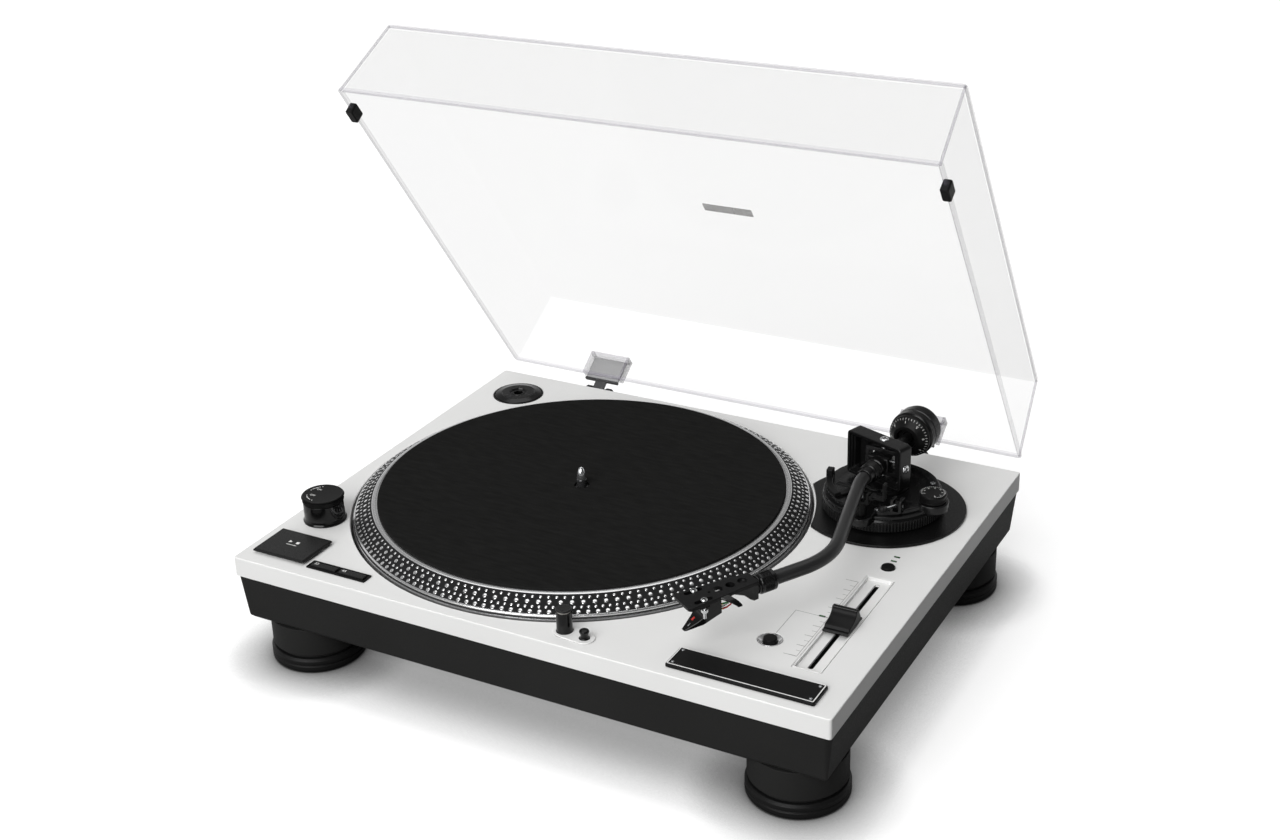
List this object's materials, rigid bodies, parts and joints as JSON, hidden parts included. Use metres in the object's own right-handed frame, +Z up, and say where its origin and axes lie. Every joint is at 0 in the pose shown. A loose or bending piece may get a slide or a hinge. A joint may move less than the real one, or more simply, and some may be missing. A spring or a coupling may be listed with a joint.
{
  "type": "direct drive dj turntable",
  "caption": "A direct drive turntable on screw feet, with a heavy platter, a curved tonearm, a pitch slider and an open clear cover.",
  "frame": {"origin": "middle of the whole object in X and Y, on the surface that the feet stand on", "axes": "+X to the right, the tonearm side; +Y to the back, the cover hinge side; +Z up"},
  "size_m": [0.45, 0.4178, 0.4101],
  "materials": {
    "silver": "satin silver coating",
    "black_housing": "satin black moulding",
    "gloss_black": "polished black",
    "black_metal": "black anodised or painted metal",
    "black_alloy": "black satin alloy",
    "felt": "black felt",
    "rubber": "matt black rubber",
    "cast_alloy": "machined alloy, bright dots on a dark band",
    "steel": "ground steel",
    "dark_plastic": "fine-grained black moulding",
    "magnet": "bare ferrite",
    "winding": "enamelled copper wire",
    "board": "green circuit board",
    "clear": "clear acrylic",
    "dark_tube": "dark satin alloy tube"
  },
  "bodies": {
    "chassis": {"top_plate": "silver", "base_housing": "black_housing", "bottom_cover": "black_housing", "drive_board": "board", "transformer": "steel", "audio_terminals": "steel", "power_inlet": "dark_plastic", "power_tower": "gloss_black", "speed_bezel": "silver", "lamp_bezel": "silver", "quartz_ring": "silver", "slider_track": "silver", "name_plate": "black_alloy", "adapter_dish": "black_housing", "arm_disc": "black_metal", "stator": "winding", "spindle_bearing": "steel", "hinge_base_left": "dark_plastic", "hinge_base_right": "dark_plastic"},
    "front_left_foot": {"foot_front_left": "rubber"},
    "front_right_foot": {"foot_front_right": "rubber"},
    "rear_left_foot": {"foot_rear_left": "rubber"},
    "rear_right_foot": {"foot_rear_right": "rubber"},
    "rotor": {"platter": "cast_alloy", "slipmat": "felt", "spindle": "steel", "rotor_magnet": "magnet"},
    "centre_adapter": {"adapter": "black_alloy"},
    "power_switch": {"power_ring": "gloss_black"},
    "start_stop": {"start_stop_button": "dark_plastic"},
    "speed_33": {"button_33": "dark_plastic"},
    "speed_45": {"button_45": "dark_plastic"},
    "lamp": {"target_lamp": "gloss_black"},
    "lamp_key": {"lamp_button": "gloss_black"},
    "quartz_key": {"quartz_button": "dark_plastic"},
    "reset_key": {"reset_button": "dark_plastic"},
    "pitch_slider": {"slider_knob": "gloss_black"},
    "height_control": {"height_ring": "black_alloy"},
    "arm_column": {"arm_base": "black_alloy", "gimbal_frame": "black_alloy", "arm_rest": "dark_plastic"},
    "height_lock": {"height_lock_lever": "dark_plastic"},
    "rest_clip": {"arm_rest_clip": "dark_plastic"},
    "anti_skate": {"anti_skate_dial": "dark_plastic"},
    "cue": {"cue_lever": "dark_plastic"},
    "lift": {"cue_platform": "dark_plastic"},
    "arm_yaw": {"gimbal_ring": "black_alloy"},
    "arm_pitch": {"pivot_block": "black_alloy", "arm_tube": "dark_tube", "headshell": "black_alloy", "cartridge": "dark_plastic"},
    "shell_lock": {"lock_collar": "black_alloy"},
    "weight_carrier": {"weight_sleeve": "dark_plastic"},
    "weight": {"counterweight": "black_metal"},
    "weight_scale": {"weight_dial": "dark_plastic"},
    "cover": {"dust_cover": "clear", "hinge_blade_left": "steel", "hinge_blade_right": "steel", "bumper_left": "rubber", "bumper_right": "rubber"}
  },
  "joints": [
    {"name": "front_left_foot_screw", "type": "hinge", "parent": "chassis", "child": "front_left_foot", "pos_m": [-0.1878, -0.17207, 0.02], "axis": [0, 0, -1], "range_deg": [0, 720]},
    {"name": "front_right_foot_screw", "type": "hinge", "parent": "chassis", "child": "front_right_foot", "pos_m": [0.1878, -0.17207, 0.02], "axis": [0, 0, -1], "range_deg": [0, 720]},
    {"name": "rear_left_foot_screw", "type": "hinge", "parent": "chassis", "child": "rear_left_foot", "pos_m": [-0.1878, 0.10833, 0.02], "axis": [0, 0, -1], "range_deg": [0, 720]},
    {"name": "rear_right_foot_screw", "type": "hinge", "parent": "chassis", "child": "rear_right_foot", "pos_m": [0.1878, 0.10833, 0.02], "axis": [0, 0, -1], "range_deg": [0, 720]},
    {"name": "platter_spin", "type": "hinge", "parent": "chassis", "child": "rotor", "pos_m": [-0.0465, -0.03187, 0.085], "axis": [0, 0, -1], "continuous": true},
    {"name": "adapter_lift", "type": "slide", "parent": "chassis", "child": "centre_adapter", "axis": [0, 0, 1], "range_m": [0, 0.025]},
    {"name": "power_turn", "type": "hinge", "parent": "chassis", "child": "power_switch", "pos_m": [-0.201, -0.13537, 0.102], "axis": [0, 0, -1], "range_deg": [0, 40]},
    {"name": "start_stop_press", "type": "slide", "parent": "chassis", "child": "start_stop", "axis": [0, 0, -1], "range_m": [0, 0.0013], "stiffness_N_per_m": 400, "springref_m": -0.002},
    {"name": "speed_33_press", "type": "slide", "parent": "chassis", "child": "speed_33", "axis": [0, 0, -1], "range_m": [0, 0.001], "stiffness_N_per_m": 200, "springref_m": -0.002},
    {"name": "speed_45_press", "type": "slide", "parent": "chassis", "child": "speed_45", "axis": [0, 0, -1], "range_m": [0, 0.001], "stiffness_N_per_m": 200, "springref_m": -0.002},
    {"name": "lamp_pop", "type": "slide", "parent": "chassis", "child": "lamp", "axis": [0, 0, -1], "range_m": [0, 0.0135], "stiffness_N_per_m": 60, "springref_m": -0.004},
    {"name": "lamp_key_press", "type": "slide", "parent": "chassis", "child": "lamp_key", "axis": [0, 0, -1], "range_m": [0, 0.002], "stiffness_N_per_m": 150, "springref_m": -0.002},
    {"name": "quartz_press", "type": "slide", "parent": "chassis", "child": "quartz_key", "axis": [0, 0, -1], "range_m": [0, 0.001], "stiffness_N_per_m": 150, "springref_m": -0.002},
    {"name": "reset_press", "type": "slide", "parent": "chassis", "child": "reset_key", "axis": [0, 0, -1], "range_m": [0, 0.001], "stiffness_N_per_m": 150, "springref_m": -0.002},
    {"name": "pitch_slide", "type": "slide", "parent": "chassis", "child": "pitch_slider", "axis": [0, 1, 0], "range_m": [-0.05, 0.05]},
    {"name": "height_turn", "type": "hinge", "parent": "chassis", "child": "height_control", "pos_m": [0.154, 0.04963, 0.092], "axis": [0, 0, -1], "range_deg": [0, 300]},
    {"name": "height_rise", "type": "slide", "parent": "chassis", "child": "arm_column", "axis": [0, 0, 1], "range_m": [0, 0.006]},
    {"name": "height_lock_turn", "type": "hinge", "parent": "arm_column", "child": "height_lock", "pos_m": [0.154, 0.04963, 0.105], "axis": [0, 0, 1], "range_deg": [-40, 15]},
    {"name": "rest_clip_close", "type": "hinge", "parent": "arm_column", "child": "rest_clip", "pos_m": [0.1652, 0.00113, 0.11965], "axis": [0, -1, 0], "range_deg": [0, 90]},
    {"name": "anti_skate_turn", "type": "hinge", "parent": "arm_column", "child": "anti_skate", "pos_m": [0.194, 0.04213, 0.107], "axis": [0, 0, -1], "range_deg": [0, 270]},
    {"name": "cue_turn", "type": "hinge", "parent": "arm_column", "child": "cue", "pos_m": [0.177, 0.01813, 0.1075], "axis": [-1, 0, 0], "range_deg": [0, 60]},
    {"name": "lift_slide", "type": "slide", "parent": "arm_column", "child": "lift", "axis": [0, 0, 1], "range_m": [-0.006, 0]},
    {"name": "arm_swing", "type": "hinge", "parent": "arm_column", "child": "arm_yaw", "pos_m": [0.154, 0.04963, 0.1236], "axis": [0, 0, -1], "range_deg": [0, 44]},
    {"name": "arm_tip", "type": "hinge", "parent": "arm_yaw", "child": "arm_pitch", "pos_m": [0.154, 0.04963, 0.1236], "axis": [-0.9962, 0.0872, 0], "range_deg": [-0.2, 5.8]},
    {"name": "shell_lock_turn", "type": "hinge", "parent": "arm_pitch", "child": "shell_lock", "pos_m": [0.14217, -0.13493, 0.11714], "axis": [-0.5353, -0.8441, -0.031], "range_deg": [0, 60]},
    {"name": "weight_travel", "type": "slide", "parent": "arm_pitch", "child": "weight_carrier", "axis": [0.0871, 0.9956, 0.0349], "range_m": [-0.003, 0.003]},
    {"name": "weight_turn", "type": "hinge", "parent": "weight_carrier", "child": "weight", "pos_m": [0.15853, 0.1014, 0.12541], "axis": [0.0871, 0.9956, 0.0349], "range_deg": [-360, 360]},
    {"name": "weight_scale_turn", "type": "hinge", "parent": "weight_carrier", "child": "weight_scale", "pos_m": [0.1574, 0.08846, 0.12496], "axis": [0.0871, 0.9956, 0.0349], "range_deg": [-180, 180]},
    {"name": "cover_hinge", "type": "hinge", "parent": "chassis", "child": "cover", "pos_m": [0, 0.15083, 0.077], "axis": [-1, 0, 0], "range_deg": [-54.66, 10]}
  ],
  "couplings": [
    {"joint": "height_rise", "follows": "height_turn", "m_per_rad": 0.001145},
    {"joint": "lift_slide", "follows": "cue_turn", "m_per_rad": -0.005725},
    {"joint": "weight_travel", "follows": "weight_turn", "m_per_rad": 0.000477}
  ]
}
